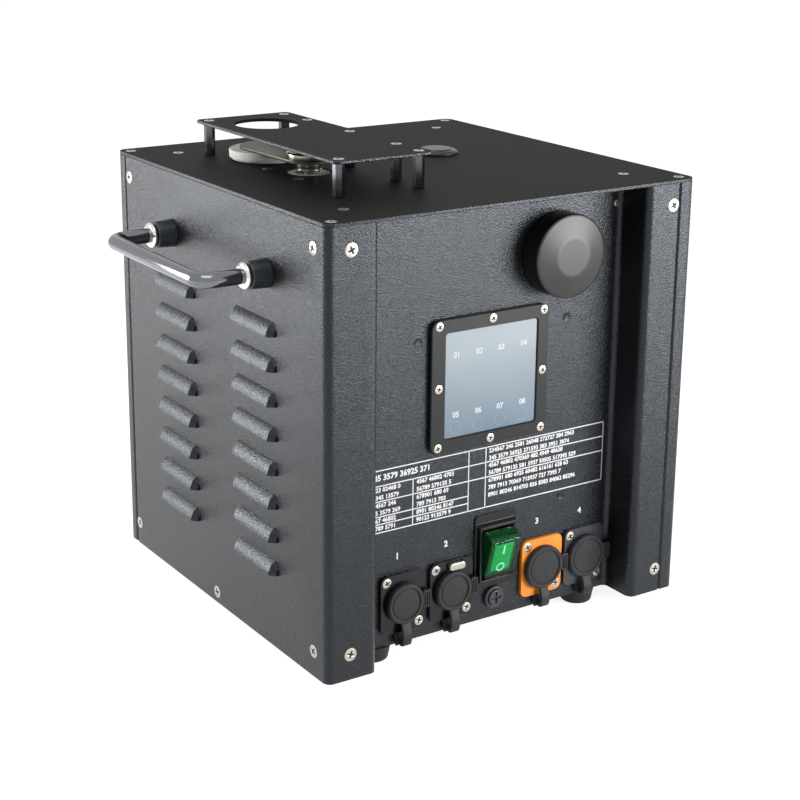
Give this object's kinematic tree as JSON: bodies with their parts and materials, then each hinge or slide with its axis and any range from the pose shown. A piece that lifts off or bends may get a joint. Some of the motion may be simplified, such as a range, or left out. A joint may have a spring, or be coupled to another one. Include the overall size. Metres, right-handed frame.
{
  "type": "cold_spark_machine",
  "caption": "Cold spark machine: folded sheet body with louvres, spark guard, swinging nozzle cap, filler cap, touch display, rocker switch, capped data and power sockets and carrying handles",
  "frame": {"origin": "centre of the floor under the body, where the feet stand, +Z up", "axes": "+X right as seen from the front, the control panel faces -Y, the handles stand out along -X and +X"},
  "size_m": [0.2916, 0.217, 0.2486],
  "materials": {
    "textured_black_paint": "fine textured powder coat",
    "satin_black_paint": "smooth powder coat",
    "chrome_plate": "polished",
    "dark_gloss_collar": "gloss",
    "black_rubber": "matt",
    "grey_rubber": "matt",
    "black_nickel": "black nickel plate",
    "dark_arm_steel": "dark oxide",
    "turned_steel": "turned",
    "white_plug": "heat-proof plastic",
    "black_plastic": "fine grain",
    "gloss_black_plastic": "gloss",
    "display_acrylic": "pale blue window",
    "circuit_board": "solder mask",
    "orange_plastic": "moulded",
    "dark_grey_plastic": "moulded",
    "bright_latch": "nickel plate",
    "green_rocker": "translucent green",
    "clear_splash_cap": "clear soft plastic",
    "stainless_tube": "satin",
    "galvanised_sheet": "zinc coat",
    "heater_blanket": "glass cloth",
    "motor_can": "dark zinc"
  },
  "bodies": {
    "chassis": {"front_left_wrap": "textured_black_paint", "back_right_wrap": "textured_black_paint", "top_plate": "satin_black_paint", "bottom_tray": "satin_black_paint", "guard_plate": "satin_black_paint", "front_left_foot": "black_rubber", "front_right_foot": "black_rubber", "back_left_foot": "black_rubber", "back_right_foot": "black_rubber", "left_handle_bar": "chrome_plate", "right_handle_bar": "chrome_plate", "left_handle_front_collar": "dark_gloss_collar", "left_handle_back_collar": "dark_gloss_collar", "right_handle_front_collar": "dark_gloss_collar", "right_handle_back_collar": "dark_gloss_collar", "guard_standoff_1": "black_nickel", "guard_standoff_2": "black_nickel", "guard_standoff_3": "black_nickel", "guard_standoff_4": "black_nickel", "guard_standoff_5": "black_nickel", "guard_standoff_6": "black_nickel", "guard_standoff_7": "black_nickel", "cap_servo": "motor_can", "feed_motor": "motor_can", "top_blanking_plug": "black_plastic", "display_bezel": "black_plastic", "blower_housing": "black_plastic", "cooling_fan_frame": "black_plastic", "spark_nozzle": "stainless_tube", "heater_barrel": "stainless_tube", "feed_tube": "stainless_tube", "heater_jacket": "heater_blanket", "filler_neck": "galvanised_sheet", "hopper": "galvanised_sheet", "power_supply": "galvanised_sheet", "display_window": "display_acrylic", "display_board": "circuit_board", "dmx_in_socket": "gloss_black_plastic", "dmx_out_socket": "gloss_black_plastic", "switch_body": "gloss_black_plastic", "power_in_socket": "orange_plastic", "power_out_socket": "dark_grey_plastic", "fuse_holder": "dark_grey_plastic"},
    "nozzle_cap": {"cap_arm": "dark_arm_steel", "cap_hub": "turned_steel", "cap_plug": "white_plug", "cap_arm_nut": "turned_steel"},
    "power_rocker": {"switch_rocker": "green_rocker", "switch_splash_cap": "clear_splash_cap"},
    "filler_lid": {"filler_cap": "black_plastic"},
    "dmx_in_cover": {"dmx_in_cap": "grey_rubber"},
    "dmx_out_cover": {"dmx_out_cap": "grey_rubber"},
    "power_in_cover": {"power_in_cap": "grey_rubber"},
    "power_out_cover": {"power_out_cap": "grey_rubber"},
    "dmx_out_release": {"dmx_out_latch": "bright_latch"},
    "fuse_knob": {"fuse_cap": "dark_grey_plastic"},
    "auger": {"feed_auger": "stainless_tube"},
    "blower_wheel": {"blower_impeller": "black_plastic"},
    "fan_wheel": {"cooling_fan_rotor": "black_plastic"}
  },
  "joints": [
    {"name": "nozzle_cap_swing", "type": "hinge", "parent": "chassis", "child": "nozzle_cap", "pos_m": [-0.0515, 0.0025, 0.234], "axis": [0, 0, 1], "range_deg": [0, 60]},
    {"name": "power_rocker_tilt", "type": "hinge", "parent": "chassis", "child": "power_rocker", "pos_m": [0.0035, -0.089, 0.0445], "axis": [-1, 0, 0], "range_deg": [0, 32]},
    {"name": "filler_cap_pull", "type": "slide", "parent": "chassis", "child": "filler_lid", "axis": [0, -1, 0], "range_m": [0, 0.03]},
    {"name": "dmx_in_cap_flip", "type": "hinge", "parent": "chassis", "child": "dmx_in_cover", "pos_m": [-0.053, -0.0913, 0.0092], "axis": [1, 0, 0], "range_deg": [0, 100]},
    {"name": "dmx_out_cap_flip", "type": "hinge", "parent": "chassis", "child": "dmx_out_cover", "pos_m": [-0.024, -0.0913, 0.0092], "axis": [1, 0, 0], "range_deg": [0, 100]},
    {"name": "power_in_cap_flip", "type": "hinge", "parent": "chassis", "child": "power_in_cover", "pos_m": [0.033, -0.0913, 0.0092], "axis": [1, 0, 0], "range_deg": [0, 100]},
    {"name": "power_out_cap_flip", "type": "hinge", "parent": "chassis", "child": "power_out_cover", "pos_m": [0.061, -0.0913, 0.0092], "axis": [1, 0, 0], "range_deg": [0, 100]},
    {"name": "dmx_out_latch_press", "type": "slide", "parent": "chassis", "child": "dmx_out_release", "axis": [0, 1, 0], "range_m": [0, 0.002], "stiffness_N_per_m": 400},
    {"name": "fuse_cap_turn", "type": "hinge", "parent": "chassis", "child": "fuse_knob", "pos_m": [0.0033, -0.0885, 0.0194], "axis": [0, 1, 0], "range_deg": [0, 90]},
    {"name": "feed_auger_turn", "type": "hinge", "parent": "chassis", "child": "auger", "pos_m": [0.012, 0.0457, 0.108], "axis": [1, 0, 0], "continuous": true},
    {"name": "blower_turn", "type": "hinge", "parent": "chassis", "child": "blower_wheel", "pos_m": [-0.024, 0.0465, 0.054], "axis": [0, 1, 0], "continuous": true},
    {"name": "cooling_fan_turn", "type": "hinge", "parent": "chassis", "child": "fan_wheel", "pos_m": [-0.046, 0.0965, 0.08], "axis": [0, 1, 0], "continuous": true}
  ]
}
